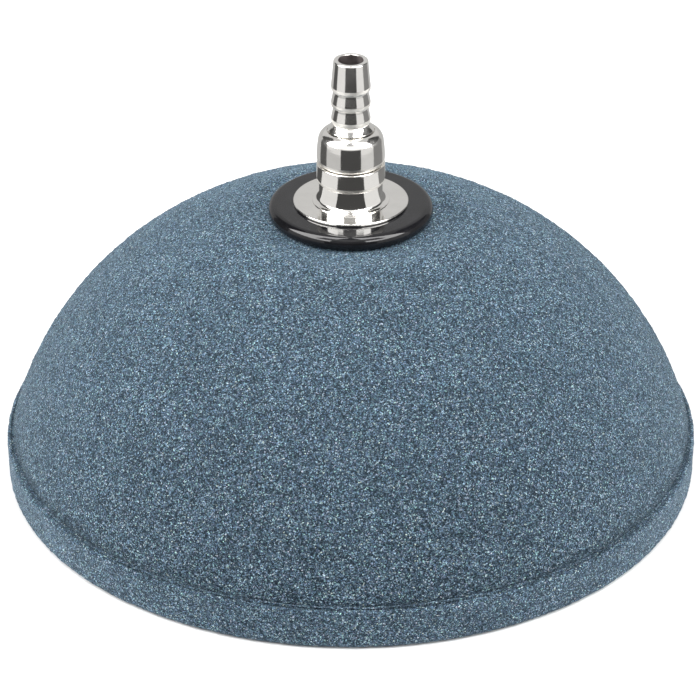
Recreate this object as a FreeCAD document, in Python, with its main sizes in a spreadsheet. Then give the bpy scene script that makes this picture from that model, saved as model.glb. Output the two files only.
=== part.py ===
import FreeCAD, Part
import math
import os
import Sketcher

# Air stone: a hollow dome of sintered grit on a grit base plate, clamped by a hollow
# stem whose polished fitting on top takes the air hose.
# Millimetres, +Z up, origin on the floor under the middle of the base.

DIMENSIONS = {
    # base plate
    "rim_radius": 65.0,
    "rim_top": 8.2,
    "rim_edge_round": 0.6,
    "lip_width": 0.9,
    "land_width": 11.0,
    "recess_depth": 1.2,
    "plate_bore": 5.4,
    "counterbore_radius": 14.0,
    "counterbore_top": 10.4,
    "hub_radius": 19.0,
    "hub_wall": 4.0,
    "locating_ring_radius": 52.8,
    "locating_ring_width": 4.2,
    "locating_ring_height": 3.6,
    # seam and lacquer
    "seam_level": 7.75,
    "bond_thickness": 0.3,
    "bond_bead": 0.4,
    "coat_thickness": 0.3,
    "coat_gap": 0.4,
    # dome, two tangent arcs outside and the same two set in by the wall
    "dome_wall": 8.5,
    "crown_level": 50.45,
    "crown_flat_radius": 20.99,
    "crown_arc_radius": 70.46,
    "crown_arc_centre": -16.81,
    "shoulder_radius": 39.084,
    "shoulder_level": 41.817,
    "side_arc_radius": 61.55,
    "side_foot_radius": 63.725,
    "side_foot_level": 8.85,
    "foot_radius": 63.6,
    "inner_foot_radius": 55.145,
    "inner_flat_radius": 19.65,
    "dome_bore": 5.6,
    # gasket and disc under the fitting
    "gasket_radius": 15.05,
    "gasket_thickness": 2.85,
    "gasket_bore": 5.1,
    "disc_radius": 10.5,
    "disc_thickness": 0.55,
    "disc_bore": 5.05,
    "disc_edge_round": 0.18,
    # stem
    "shank_radius": 4.95,
    "shank_end": 0.9,
    "stem_foot_radius": 7.05,
    "stem_foot_fillet": 1.29,
    "foot_groove_radius": 5.6,
    "foot_groove_depth": 0.56,
    "foot_ring_section": 0.27,
    "foot_ring_gap": 0.05,
    "neck_radius": 5.76,
    "neck_length": 3.75,
    "seat_core_radius": 5.0,
    "spigot_radius": 4.5,
    "spigot_length": 3.3,
    "spigot_chamfer": 0.35,
    "nose_socket_radius": 2.95,
    "nose_socket_depth": 3.2,
    "air_bore": 2.0,
    "air_bore_end": 16.0,
    "port_radius": 1.2,
    "port_level": 24.0,
    "port_spacing": 10.0,
    # seat ring under the union cap
    "ring_radius": 6.2,
    "ring_bore": 5.02,
    "ring_height": 3.7,
    "ring_edge_height": 0.9,
    "ring_edge_arc": 1.15,
    # union cap
    "cap_gap": 0.1,
    "cap_height": 6.4,
    "cap_bore": 4.6,
    "cap_foot_radius": 5.75,
    "cap_edge_height": 1.1,
    "cap_edge_arc": 1.4,
    "cap_waist_radius": 5.92,
    "cap_waist_height": 4.5,
    "cap_side_arc": 28.0,
    "cap_shoulder_arc": 1.95,
    "cap_top_radius": 4.1,
    "cap_hole": 3.27,
    "cap_top_wall": 1.5,
    # slip washer
    "face_gap": 0.05,
    "slip_radius": 4.5,
    "slip_bore": 3.22,
    "slip_thickness": 0.4,
    # retaining ring pressed on the tail under the slip washer
    "retainer_radius": 4.3,
    "retainer_height": 1.1,
    "retainer_bore": 2.97,
    # hose tail
    "tail_seat_radius": 2.95,
    "tail_nose_radius": 2.8,
    "tail_nose_length": 3.1,
    "tail_nose_chamfer": 0.25,
    "tail_nose_bore": 1.6,
    "tail_bore": 2.23,
    "tail_bore_cone": 1.0,
    "tail_shaft_radius": 3.15,
    "collar_radius": 4.2,
    "collar_edge": 0.22,
    "collar_height": 1.2,
    "collar_flare_arc": 1.6,
    "tail_top": 81.3,
    "tail_tip_radius": 3.1,
    "tail_tip_round": 0.35,
    "barb_radius": 3.55,
    "barb_root_radius": 3.22,
    "barb_pitch": 3.1,
    "barb_first_level": 69.25,
    "barb_rise": 0.3,
    "barb_land": 0.75,
    "barb_root_land": 0.45,
    # seal ring on the tail's nose
    "oring_groove_radius": 2.2,
    "oring_groove_height": 0.8,
    "oring_groove_offset": 0.8,
    "oring_section": 0.32,
    "oring_seat_gap": 0.01,
    # stack that clamps the base
    "base_gasket_radius": 13.2,
    "base_gasket_bore": 5.1,
    "base_gasket_thickness": 1.2,
    "washer_radius": 12.5,
    "washer_bore": 5.25,
    "washer_thickness": 1.0,
    "washer_edge_round": 0.15,
    "spring_radius": 8.6,
    "spring_bore": 5.2,
    "spring_thickness": 1.6,
    "spring_gap_width": 1.2,
    "nut_across_flats": 17.0,
    "nut_height": 5.0,
    "nut_bore": 5.0,
    "nut_chamfer": 0.9,
}
BARB_COUNT = 3
BULL_NOSE_SLACK = 1.0001  # keeps the half-round's arc a hair over half its chord
SHEET_NAME = "Sizes"


class Size:
    """A length that carries its number and the sheet formula that gives it."""

    def __init__(self, value, formula):
        self.value = value
        self.formula = formula

    def _with(self, other, sign, value):
        other_formula = other.formula if isinstance(other, Size) else repr(other)
        return Size(value, f"({self.formula} {sign} {other_formula})")

    def __add__(self, other):
        return self._with(other, "+", self.value + number(other))

    def __sub__(self, other):
        return self._with(other, "-", self.value - number(other))

    def __mul__(self, other):
        return self._with(other, "*", self.value * number(other))

    def __truediv__(self, other):
        return self._with(other, "/", self.value / number(other))


def number(length):
    """The plain number of a Size or of a number."""
    return length.value if isinstance(length, Size) else float(length)


def make_sheet(doc):
    """Write every driving dimension to the sheet, one row each, with its alias."""
    sheet = doc.addObject("Spreadsheet::Sheet", SHEET_NAME)
    for row, (alias, value) in enumerate(DIMENSIONS.items(), start=1):
        sheet.set(f"A{row}", alias)
        sheet.set(f"B{row}", str(value))
        sheet.setAlias(f"B{row}", alias)
    doc.recompute()
    return {alias: Size(value, f"{SHEET_NAME}.{alias}") for alias, value in DIMENSIONS.items()}


def bind(obj, prop, length):
    """Give a property its number now and its sheet formula for later changes."""
    if isinstance(length, Size):
        obj.setExpression(prop, length.formula)
    else:
        setattr(obj, prop, length)


def raise_to(obj, level):
    """Put an object's own zero at a height, through its placement."""
    obj.setExpression("Placement.Base.z", level.formula)


# ---------------------------------------------------------------- sketches

def new_body(doc, label):
    body = doc.addObject("PartDesign::Body", label)
    body.Label = label
    return body


def origin_feature(body, role):
    return next(item for item in body.Origin.OriginFeatures if item.Role == role)


def new_sketch(body, name, plane):
    sketch = body.newObject("Sketcher::SketchObject", name)
    sketch.AttachmentSupport = [(origin_feature(body, plane), "")]
    sketch.MapMode = "FlatFace"
    return sketch


def constrain(sketch, kind, references, length):
    """Add a driving dimension and tie it to the sheet."""
    index = sketch.addConstraint(Sketcher.Constraint(kind, *references, number(length)))
    if isinstance(length, Size):
        sketch.setExpression(f"Constraints[{index}]", length.formula)


def arc_through(start, end, radius):
    """Arc of a radius from start to end; a positive radius runs counter-clockwise."""
    chord = end - start
    middle = (start + end) * 0.5
    left = FreeCAD.Vector(-chord.y, chord.x, 0).normalize()
    offset = math.sqrt(radius ** 2 - (chord.Length / 2) ** 2)
    centre = middle + left * (offset if radius > 0 else -offset)
    first, last = (start, end) if radius > 0 else (end, start)
    angles = [math.atan2(p.y - centre.y, p.x - centre.x) for p in (first, last)]
    circle = Part.Circle(centre, FreeCAD.Vector(0, 0, 1), abs(radius))
    return Part.ArcOfCircle(circle, angles[0], angles[1])


def outline(sketch, corners):
    """Closed outline through corners (across, up) or (across, up, (radius, turn)).

    With a third entry, the side that arrives at that corner is an arc of that radius,
    counter-clockwise when turn is +1 and clockwise when it is -1.
    """
    points = [FreeCAD.Vector(number(c[0]), number(c[1]), 0) for c in corners]
    ends = []
    for index, corner in enumerate(corners):
        start, end = points[index - 1], points[index]
        if len(corner) == 2:
            side = sketch.addGeometry(Part.LineSegment(start, end), False)
            ends.append((side, 1, 2))
            continue
        radius, turn = corner[2]
        side = sketch.addGeometry(arc_through(start, end, turn * number(radius)), False)
        ends.append((side, 1, 2) if turn > 0 else (side, 2, 1))
        constrain(sketch, "Radius", (side,), radius)
    for index, corner in enumerate(corners):
        side, _, last = ends[index]
        following, first, _ = ends[(index + 1) % len(ends)]
        sketch.addConstraint(Sketcher.Constraint("Coincident", side, last, following, first))
        for kind, axis, length in (("DistanceX", -2, corner[0]), ("DistanceY", -1, corner[1])):
            if number(length) == 0.0:
                sketch.addConstraint(Sketcher.Constraint("PointOnObject", side, last, axis))
            else:
                constrain(sketch, kind, (-1, 1, side, last), length)


def turned(doc, label, corners):
    """Body of revolution about Z from an outline in the XZ plane."""
    body = new_body(doc, label)
    sketch = new_sketch(body, f"{label}_outline", "XZ_Plane")
    outline(sketch, corners)
    revolution = body.newObject("PartDesign::Revolution", f"{label}_turned")
    revolution.Profile = sketch
    revolution.ReferenceAxis = (sketch, ["V_Axis"])
    revolution.Angle = 360.0
    doc.recompute()
    return body


def ring_corners(inner, outer, height):
    """Square section of a washer that stands on its own zero."""
    return [(inner, 0), (outer, 0), (outer, height), (inner, height)]


def circles_at(shape, places):
    """Names of the circular edges of a shape at given (radius, height) places."""
    names = []
    for index, edge in enumerate(shape.Edges, start=1):
        curve = edge.Curve
        if not isinstance(curve, Part.Circle):
            continue
        for radius, height in places:
            same_radius = abs(curve.Radius - number(radius)) < 1e-4
            same_height = abs(curve.Center.z - number(height)) < 1e-4
            if same_radius and same_height:
                names.append(f"Edge{index}")
    return names


def dress_edges(doc, body, kind, size, places):
    """Fillet or chamfer the circular edges of a body at given (radius, height) places."""
    base = body.Tip
    dressed = body.newObject(f"PartDesign::{kind}", f"{body.Label}_{kind.lower()}")
    dressed.Base = (base, circles_at(base.Shape, places))
    bind(dressed, "Radius" if kind == "Fillet" else "Size", size)
    doc.recompute()


def cut_gap(doc, body, width, reach, height):
    """Slot from the middle out to +X, through the whole height, that splits a ring."""
    before = body.Tip.Shape.Volume
    half = width / 2
    low = half * -1
    sketch = new_sketch(body, f"{body.Label}_gap", "XY_Plane")
    outline(sketch, [(0, low), (reach, low), (reach, half), (0, half)])
    pocket = body.newObject("PartDesign::Pocket", f"{body.Label}_slit")
    pocket.Profile = sketch
    bind(pocket, "Length", height * 2)
    pocket.Reversed = True
    doc.recompute()
    if body.Tip.Shape.Volume >= before:
        raise RuntimeError(f"{body.Label}: the slit cut nothing")


# ---------------------------------------------------------------- grit parts

def base_plate(doc, s):
    """Base disc: foot land, shallow recess, counterbored hub, locating ring and lip."""
    floor_top = s["seam_level"] - s["bond_thickness"]
    ring_inner = s["locating_ring_radius"] - s["locating_ring_width"]
    ring_top = floor_top + s["locating_ring_height"]
    hub_top = s["counterbore_top"] + s["hub_wall"]
    lip_inner = s["rim_radius"] - s["lip_width"]
    land_inner = s["rim_radius"] - s["land_width"]
    body = turned(doc, "base_plate", [
        (s["plate_bore"], s["counterbore_top"]),
        (s["counterbore_radius"], s["counterbore_top"]),
        (s["counterbore_radius"], s["recess_depth"]),
        (land_inner, s["recess_depth"]),
        (land_inner, 0),
        (s["rim_radius"], 0),
        (s["rim_radius"], s["rim_top"]),
        (lip_inner, s["rim_top"]),
        (lip_inner, floor_top),
        (s["locating_ring_radius"], floor_top),
        (s["locating_ring_radius"], ring_top),
        (ring_inner, ring_top),
        (ring_inner, floor_top),
        (s["hub_radius"], floor_top),
        (s["hub_radius"], hub_top),
        (s["plate_bore"], hub_top),
    ])
    dress_edges(doc, body, "Fillet", s["rim_edge_round"], [
        (s["rim_radius"], 0),
        (s["rim_radius"], s["rim_top"]),
    ])


def base_seal_coat(doc, s):
    """Lacquer skin that closes the pores of the recess under the base."""
    outer = s["rim_radius"] - s["land_width"] - s["coat_gap"]
    inner = s["counterbore_radius"] + s["coat_gap"]
    body = turned(doc, "base_seal_coat", ring_corners(inner, outer, s["coat_thickness"]))
    raise_to(body, s["recess_depth"] - s["coat_thickness"])


def rim_bond(doc, s):
    """Resin seam between the dome's foot and the base, with a bead squeezed outwards."""
    outer = s["foot_radius"] + s["bond_bead"]
    body = turned(doc, "rim_bond", ring_corners(s["inner_foot_radius"], outer, s["bond_thickness"]))
    raise_to(body, s["seam_level"] - s["bond_thickness"])


def dome_shell(doc, s):
    """Hollow dome with a flat crown; the inside is set in from the outside by the wall."""
    inward = Size(1.0, "1") - s["dome_wall"] / s["crown_arc_radius"]
    inner_shoulder_radius = s["shoulder_radius"] * inward
    shoulder_above_centre = s["shoulder_level"] - s["crown_arc_centre"]
    inner_shoulder_level = s["crown_arc_centre"] + shoulder_above_centre * inward
    ceiling = s["crown_level"] - s["dome_wall"]
    inner_side_arc = s["side_arc_radius"] - s["dome_wall"]
    inner_crown_arc = s["crown_arc_radius"] - s["dome_wall"]
    turned(doc, "dome_shell", [
        (s["dome_bore"], ceiling),
        (s["inner_flat_radius"], ceiling),
        (inner_shoulder_radius, inner_shoulder_level, (inner_crown_arc, -1)),
        (s["inner_foot_radius"], s["seam_level"], (inner_side_arc, -1)),
        (s["foot_radius"], s["seam_level"]),
        (s["side_foot_radius"], s["side_foot_level"]),
        (s["shoulder_radius"], s["shoulder_level"], (s["side_arc_radius"], 1)),
        (s["crown_flat_radius"], s["crown_level"], (s["crown_arc_radius"], 1)),
        (s["dome_bore"], s["crown_level"]),
    ])


# ---------------------------------------------------------------- crown seal and disc

def top_gasket(doc, s):
    """Rubber gasket with a bull-nosed rim."""
    nose = s["gasket_thickness"] / 2
    straight = s["gasket_radius"] - nose
    body = turned(doc, "top_gasket", [
        (s["gasket_bore"], 0),
        (straight, 0),
        (straight, s["gasket_thickness"], (nose * BULL_NOSE_SLACK, 1)),
        (s["gasket_bore"], s["gasket_thickness"]),
    ])
    raise_to(body, s["crown_level"])


def flange_disc(doc, s):
    """Thin polished disc that spreads the clamping load over the gasket."""
    corners = ring_corners(s["disc_bore"], s["disc_radius"], s["disc_thickness"])
    body = turned(doc, "flange_disc", corners)
    dress_edges(doc, body, "Fillet", s["disc_edge_round"], [
        (s["disc_radius"], 0),
        (s["disc_radius"], s["disc_thickness"]),
    ])
    raise_to(body, s["crown_level"] + s["gasket_thickness"])


# ---------------------------------------------------------------- stem and seat ring

def neck_base(s):
    return s["crown_level"] + s["gasket_thickness"] + s["disc_thickness"]


def ring_base(s):
    return neck_base(s) + s["neck_length"]


def ring_top(s):
    return ring_base(s) + s["ring_height"]


def spigot_top(s):
    return ring_top(s) + s["spigot_length"]


def inlet_stem(doc, s):
    """Turned stem: shank, flared foot with a seal groove, neck, spigot, nose socket, air bore."""
    groove_ceiling = neck_base(s) + s["foot_groove_depth"]
    fillet_top = neck_base(s) + s["stem_foot_fillet"]
    socket_floor = spigot_top(s) - s["nose_socket_depth"]
    body = turned(doc, "inlet_stem", [
        (0, s["shank_end"]),
        (s["shank_radius"], s["shank_end"]),
        (s["shank_radius"], groove_ceiling),
        (s["foot_groove_radius"], groove_ceiling),
        (s["foot_groove_radius"], neck_base(s)),
        (s["stem_foot_radius"], neck_base(s)),
        (s["neck_radius"], fillet_top, (s["stem_foot_fillet"], -1)),
        (s["neck_radius"], ring_base(s)),
        (s["seat_core_radius"], ring_base(s)),
        (s["seat_core_radius"], ring_top(s)),
        (s["spigot_radius"], ring_top(s)),
        (s["spigot_radius"], spigot_top(s)),
        (s["nose_socket_radius"], spigot_top(s)),
        (s["nose_socket_radius"], socket_floor),
        (s["air_bore"], socket_floor),
        (s["air_bore"], s["air_bore_end"]),
        (0, s["air_bore_end"]),
    ])
    dress_edges(doc, body, "Chamfer", s["spigot_chamfer"], [(s["spigot_radius"], spigot_top(s))])
    drill_ports(doc, body, s)


def drill_ports(doc, body, s):
    """Two levels of cross holes that let the air out into the chamber."""
    before = body.Tip.Shape.Volume
    sketch = new_sketch(body, "port_holes", "XZ_Plane")
    for level in (s["port_level"], s["port_level"] + s["port_spacing"]):
        centre = FreeCAD.Vector(0, number(level), 0)
        axis = FreeCAD.Vector(0, 0, 1)
        hole = sketch.addGeometry(Part.Circle(centre, axis, number(s["port_radius"])), False)
        sketch.addConstraint(Sketcher.Constraint("PointOnObject", hole, 3, -2))
        constrain(sketch, "DistanceY", (-1, 1, hole, 3), level)
        constrain(sketch, "Radius", (hole,), s["port_radius"])
    pocket = body.newObject("PartDesign::Pocket", "ports")
    pocket.Profile = sketch
    bind(pocket, "Length", s["shank_radius"] * 4)
    pocket.Midplane = True
    doc.recompute()
    crossed = body.newObject("PartDesign::PolarPattern", "ports_crossed")
    crossed.Originals = [pocket]
    crossed.Axis = (origin_feature(body, "Z_Axis"), [""])
    crossed.Angle = 180.0
    crossed.Occurrences = 3
    body.Tip = crossed
    doc.recompute()
    if crossed.Shape.Volume >= pocket.Shape.Volume or pocket.Shape.Volume >= before:
        raise RuntimeError("inlet_stem: the ports cut nothing")


def stem_o_ring(doc, s):
    """Rubber ring in the groove under the stem's foot that seals the stem on the disc."""
    label = "stem_o_ring"
    ring = doc.addObject("Part::Torus", label)
    ring.Label = label
    bind(ring, "Radius1", s["shank_radius"] + s["foot_ring_gap"] + s["foot_ring_section"])
    bind(ring, "Radius2", s["foot_ring_section"])
    raise_to(ring, neck_base(s) + s["foot_ring_section"])


def seat_ring(doc, s):
    """Ring pressed on the stem, with a rounded lower edge; the union cap stops on it."""
    lower_edge = s["ring_edge_height"]
    body = turned(doc, "seat_ring", [
        (s["ring_bore"], 0),
        (s["neck_radius"], 0),
        (s["ring_radius"], lower_edge, (s["ring_edge_arc"], 1)),
        (s["ring_radius"], s["ring_height"]),
        (s["ring_bore"], s["ring_height"]),
    ])
    raise_to(body, ring_base(s))


# ---------------------------------------------------------------- union cap and hose tail

def cap_base(s):
    return ring_top(s) + s["cap_gap"]


def cap_top(s):
    return cap_base(s) + s["cap_height"]


def union_cap(doc, s):
    """Bell-shaped cap that screws on the spigot and holds the hose tail by its ring."""
    side_base = cap_base(s) + s["cap_edge_height"]
    waist = cap_base(s) + s["cap_waist_height"]
    ceiling = cap_top(s) - s["cap_top_wall"]
    turned(doc, "union_cap", [
        (s["cap_bore"], cap_base(s)),
        (s["cap_foot_radius"], cap_base(s)),
        (s["ring_radius"], side_base, (s["cap_edge_arc"], 1)),
        (s["cap_waist_radius"], waist, (s["cap_side_arc"], 1)),
        (s["cap_top_radius"], cap_top(s), (s["cap_shoulder_arc"], 1)),
        (s["cap_hole"], cap_top(s)),
        (s["cap_hole"], ceiling),
        (s["cap_bore"], ceiling),
    ])


def retainer_base(s):
    return spigot_top(s) + s["cap_gap"]


def retaining_ring(doc, s):
    """Ring pressed on the tail from below, which keeps the tail in the cap."""
    corners = ring_corners(s["retainer_bore"], s["retainer_radius"], s["retainer_height"])
    body = turned(doc, "retaining_ring", corners)
    raise_to(body, retainer_base(s))


def slip_washer(doc, s):
    """Low-friction washer between the retaining ring and the cap."""
    corners = ring_corners(s["slip_bore"], s["slip_radius"], s["slip_thickness"])
    body = turned(doc, "slip_washer", corners)
    raise_to(body, retainer_base(s) + s["retainer_height"] + s["face_gap"])


def barb_corners(s):
    """Outer corners of the barbs from the lowest up, without the uppermost root."""
    corners = []
    for index in range(BARB_COUNT):
        base = s["barb_first_level"] + s["barb_pitch"] * index
        crest = base + s["barb_rise"]
        corners += [
            (s["barb_root_radius"], base),
            (s["barb_radius"], crest),
            (s["barb_radius"], crest + s["barb_land"]),
        ]
        if index < BARB_COUNT - 1:
            next_base = base + s["barb_pitch"]
            corners.append((s["barb_root_radius"], next_base - s["barb_root_land"]))
    return corners


def hose_tail(doc, s):
    """Swivelling tail: nose in the socket, seat for the ring, shaft, collar and barbs."""
    seat_top = retainer_base(s) + s["retainer_height"]
    nose_end = retainer_base(s) - s["tail_nose_length"]
    groove_low = nose_end + s["oring_groove_offset"]
    groove_high = groove_low + s["oring_groove_height"]
    collar_base = cap_top(s) + s["face_gap"]
    collar_top = collar_base + s["collar_height"]
    tip_base = s["tail_top"] - s["tail_tip_round"]
    tip_radius = s["tail_tip_radius"] - s["tail_tip_round"]
    corners = [
        (s["tail_nose_bore"], nose_end),
        (s["tail_nose_radius"], nose_end),
        (s["tail_nose_radius"], groove_low),
        (s["oring_groove_radius"], groove_low),
        (s["oring_groove_radius"], groove_high),
        (s["tail_nose_radius"], groove_high),
        (s["tail_nose_radius"], retainer_base(s)),
        (s["tail_seat_radius"], retainer_base(s)),
        (s["tail_seat_radius"], seat_top),
        (s["tail_shaft_radius"], seat_top),
        (s["tail_shaft_radius"], collar_base),
        (s["collar_radius"], collar_base),
        (s["collar_radius"], collar_base + s["collar_edge"]),
        (s["barb_root_radius"], collar_top, (s["collar_flare_arc"], -1)),
    ]
    corners += barb_corners(s)
    corners += [
        (s["tail_tip_radius"], tip_base),
        (tip_radius, s["tail_top"], (s["tail_tip_round"], 1)),
        (s["tail_bore"], s["tail_top"]),
        (s["tail_bore"], seat_top),
        (s["tail_nose_bore"], seat_top - s["tail_bore_cone"]),
    ]
    body = turned(doc, "hose_tail", corners)
    dress_edges(doc, body, "Chamfer", s["tail_nose_chamfer"], [(s["tail_nose_radius"], nose_end)])


def tail_o_ring(doc, s):
    """Rubber ring in the nose's groove that seals the swivelling tail in the socket."""
    label = "tail_o_ring"
    ring = doc.addObject("Part::Torus", label)
    ring.Label = label
    middle_radius = s["oring_groove_radius"] + s["oring_section"] + s["oring_seat_gap"]
    bind(ring, "Radius1", middle_radius)
    bind(ring, "Radius2", s["oring_section"])
    nose_end = retainer_base(s) - s["tail_nose_length"]
    raise_to(ring, nose_end + s["oring_groove_offset"] + s["oring_groove_height"] / 2)


# ---------------------------------------------------------------- clamp under the base

def base_gasket(doc, s):
    """Rubber gasket between the hub's ceiling and the flat washer."""
    corners = ring_corners(s["base_gasket_bore"], s["base_gasket_radius"], s["base_gasket_thickness"])
    body = turned(doc, "base_gasket", corners)
    raise_to(body, s["counterbore_top"] - s["base_gasket_thickness"])


def washer_base(s):
    return s["counterbore_top"] - s["base_gasket_thickness"] - s["washer_thickness"]


def flat_washer(doc, s):
    corners = ring_corners(s["washer_bore"], s["washer_radius"], s["washer_thickness"])
    body = turned(doc, "flat_washer", corners)
    dress_edges(doc, body, "Fillet", s["washer_edge_round"], [
        (s["washer_radius"], 0),
        (s["washer_radius"], s["washer_thickness"]),
    ])
    raise_to(body, washer_base(s))


def spring_washer(doc, s):
    """Split lock washer, shown flattened by the tightened nut."""
    corners = ring_corners(s["spring_bore"], s["spring_radius"], s["spring_thickness"])
    body = turned(doc, "spring_washer", corners)
    cut_gap(doc, body, s["spring_gap_width"], s["spring_radius"] * 2, s["spring_thickness"])
    raise_to(body, washer_base(s) - s["spring_thickness"])


def hex_nut(doc, s):
    """Hexagon nut with chamfered corners: a prism shared with a chamfered round bar."""
    label = "hex_nut"
    corner_radius = s["nut_across_flats"] / math.sqrt(3)
    prism = doc.addObject("Part::Prism", "nut_prism")
    prism.Polygon = 6
    bind(prism, "Circumradius", corner_radius)
    bind(prism, "Height", s["nut_height"])
    bar = doc.addObject("Part::Cylinder", "nut_bar")
    bind(bar, "Radius", corner_radius)
    bind(bar, "Height", s["nut_height"])
    doc.recompute()
    ends = circles_at(bar.Shape, [(corner_radius, 0), (corner_radius, s["nut_height"])])
    chamfered = doc.addObject("Part::Chamfer", "nut_bar_chamfered")
    chamfered.Base = bar
    chamfer = number(s["nut_chamfer"])
    chamfered.Edges = [(int(name[len("Edge"):]), chamfer * 0.5, chamfer) for name in ends]
    blank = doc.addObject("Part::Common", "nut_blank")
    blank.Base = prism
    blank.Tool = chamfered
    bore = doc.addObject("Part::Cylinder", "nut_thread_bore")
    bind(bore, "Radius", s["nut_bore"])
    bind(bore, "Height", s["nut_height"])
    nut = doc.addObject("Part::Cut", label)
    nut.Label = label
    nut.Base = blank
    nut.Tool = bore
    raise_to(nut, washer_base(s) - s["spring_thickness"] - s["nut_height"])


MAKERS = (
    base_plate, base_seal_coat, rim_bond, dome_shell,
    top_gasket, flange_disc, inlet_stem, stem_o_ring, seat_ring,
    union_cap, retaining_ring, slip_washer, hose_tail, tail_o_ring,
    base_gasket, flat_washer, spring_washer, hex_nut,
)


def check_and_write(doc):
    """Stop on any failed object or bad shape, then write one file for each part."""
    for obj in doc.Objects:
        if "Invalid" in obj.State or "Error" in obj.State:
            raise RuntimeError(f"{obj.Label} failed: {obj.State}")
    labels = [maker.__name__ for maker in MAKERS]
    shapes = {label: doc.getObjectsByLabel(label)[0].Shape for label in labels}
    for label, shape in shapes.items():
        if shape.isNull() or not shape.isValid() or len(shape.Solids) != 1:
            raise RuntimeError(f"{label} has a bad shape")
    os.makedirs("parts", exist_ok=True)
    for label, shape in shapes.items():
        shape.exportStep(f"parts/{label}.step")
        box = shape.BoundBox
        print(f"{label:16s} z {box.ZMin:6.2f} to {box.ZMax:6.2f}  {shape.Volume:9.1f} mm3")


def main():
    doc = FreeCAD.newDocument("air_stone")
    sizes = make_sheet(doc)
    for maker in MAKERS:
        maker(doc, sizes)
    doc.recompute()
    check_and_write(doc)


main()
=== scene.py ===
import math

import bpy
import numpy as np
from mathutils import Matrix, Vector, noise


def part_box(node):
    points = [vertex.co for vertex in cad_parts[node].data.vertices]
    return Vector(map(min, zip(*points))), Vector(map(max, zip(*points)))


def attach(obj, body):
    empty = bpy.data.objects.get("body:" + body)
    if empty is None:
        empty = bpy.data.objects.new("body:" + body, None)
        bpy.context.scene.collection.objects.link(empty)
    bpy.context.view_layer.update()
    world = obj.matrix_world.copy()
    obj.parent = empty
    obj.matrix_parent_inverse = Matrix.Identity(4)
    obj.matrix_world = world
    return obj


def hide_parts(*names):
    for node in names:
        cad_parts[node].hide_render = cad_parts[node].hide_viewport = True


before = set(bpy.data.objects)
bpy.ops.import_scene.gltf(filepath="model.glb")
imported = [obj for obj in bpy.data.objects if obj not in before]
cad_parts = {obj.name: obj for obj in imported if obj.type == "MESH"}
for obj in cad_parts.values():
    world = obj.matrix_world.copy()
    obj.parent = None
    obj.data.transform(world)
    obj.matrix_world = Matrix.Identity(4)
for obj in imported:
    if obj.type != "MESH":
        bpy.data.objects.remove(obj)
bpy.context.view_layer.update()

MM = 0.001
RANDOM = np.random.default_rng(20)


# ---------------------------------------------------------------- outlines

def bow(start, end, radius, steps):
    """Points between two ends, on an arc that bulges to the right of the way along.

    A negative radius makes it bulge to the left.
    """
    start, end = Vector(start[:2]), Vector(end[:2])
    chord = end - start
    right = Vector((chord.y, -chord.x)).normalized()
    side = 1.0 if radius > 0 else -1.0
    centre = (start + end) / 2 - right * side * math.sqrt(radius ** 2 - (chord.length / 2) ** 2)
    first, last = start - centre, end - centre
    turn = first.angle_signed(last)
    points = []
    for k in range(1, steps):
        spoke = first.copy()
        spoke.rotate(Matrix.Rotation(-turn * k / steps, 2))
        points.append((centre.x + spoke.x, centre.y + spoke.y))
    return points


def ease(corners, step=None, arc_steps=6):
    """Rows (radius, height, normal radius, normal height) round a closed outline.

    The outline runs counter-clockwise. A corner (r, z, round) gets an arc, a point (r, z)
    lies on a smooth stretch. Stretches longer than the step are divided. Millimetres.
    """
    points = np.array([c[:2] for c in corners], float)
    ahead = np.roll(points, -1, axis=0) - points
    ahead /= np.linalg.norm(ahead, axis=1)[:, None]
    behind = np.roll(ahead, 1, axis=0)
    cross = behind[:, 0] * ahead[:, 1] - behind[:, 1] * ahead[:, 0]
    turns = np.arctan2(cross, (behind * ahead).sum(axis=1))
    rounds = np.array([c[2] if len(c) > 2 else 0.0 for c in corners])
    trims = rounds * np.tan(np.abs(turns) / 2)
    rows = []
    for i, point in enumerate(points):
        side = 1.0 if turns[i] > 0 else -1.0
        facing = math.atan2(-behind[i][0], behind[i][1])
        start = point - behind[i] * trims[i]
        if rounds[i] > 0:
            centre = start - side * rounds[i] * np.array([math.cos(facing), math.sin(facing)])
            steps = max(2, math.ceil(arc_steps * abs(turns[i]) / (math.pi / 2)))
            for k in range(steps + 1):
                angle = facing + turns[i] * k / steps
                normal = np.array([math.cos(angle), math.sin(angle)])
                rows.append((*(centre + side * rounds[i] * normal), *normal))
        else:
            angle = facing + turns[i] / 2
            rows.append((*point, math.cos(angle), math.sin(angle)))
        after = (i + 1) % len(points)
        end = point + ahead[i] * trims[i]
        next_start = points[after] - ahead[i] * trims[after]
        gap = np.linalg.norm(next_start - end)
        if step and gap > step:
            normal = (ahead[i][1], -ahead[i][0])
            pieces = math.ceil(gap / step)
            rows += [(*(end + (next_start - end) * k / pieces), *normal) for k in range(1, pieces)]
    return np.array(rows)


# ---------------------------------------------------------------- turned meshes

def join_rings(first, second):
    """Faces between two rings of vertex numbers, of equal, double, half or single count."""
    n, m = len(first), len(second)
    if n == 1 and m == 1:
        return []
    if n == 1:
        return [(first[0], second[(k + 1) % m], second[k]) for k in range(m)]
    if m == 1:
        return [(first[k], first[(k + 1) % n], second[0]) for k in range(n)]
    if n == m:
        return [(first[k], first[(k + 1) % n], second[(k + 1) % n], second[k]) for k in range(n)]
    faces = []
    if n == 2 * m:
        for k in range(m):
            left, middle, right = first[2 * k], first[2 * k + 1], first[(2 * k + 2) % n]
            start, end = second[k], second[(k + 1) % m]
            faces += [(left, middle, start), (middle, end, start), (middle, right, end)]
        return faces
    for k in range(n):
        left, middle, right = second[2 * k], second[2 * k + 1], second[(2 * k + 2) % m]
        start, end = first[k], first[(k + 1) % n]
        faces += [(start, middle, left), (start, end, middle), (end, right, middle)]
    return faces


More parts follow.
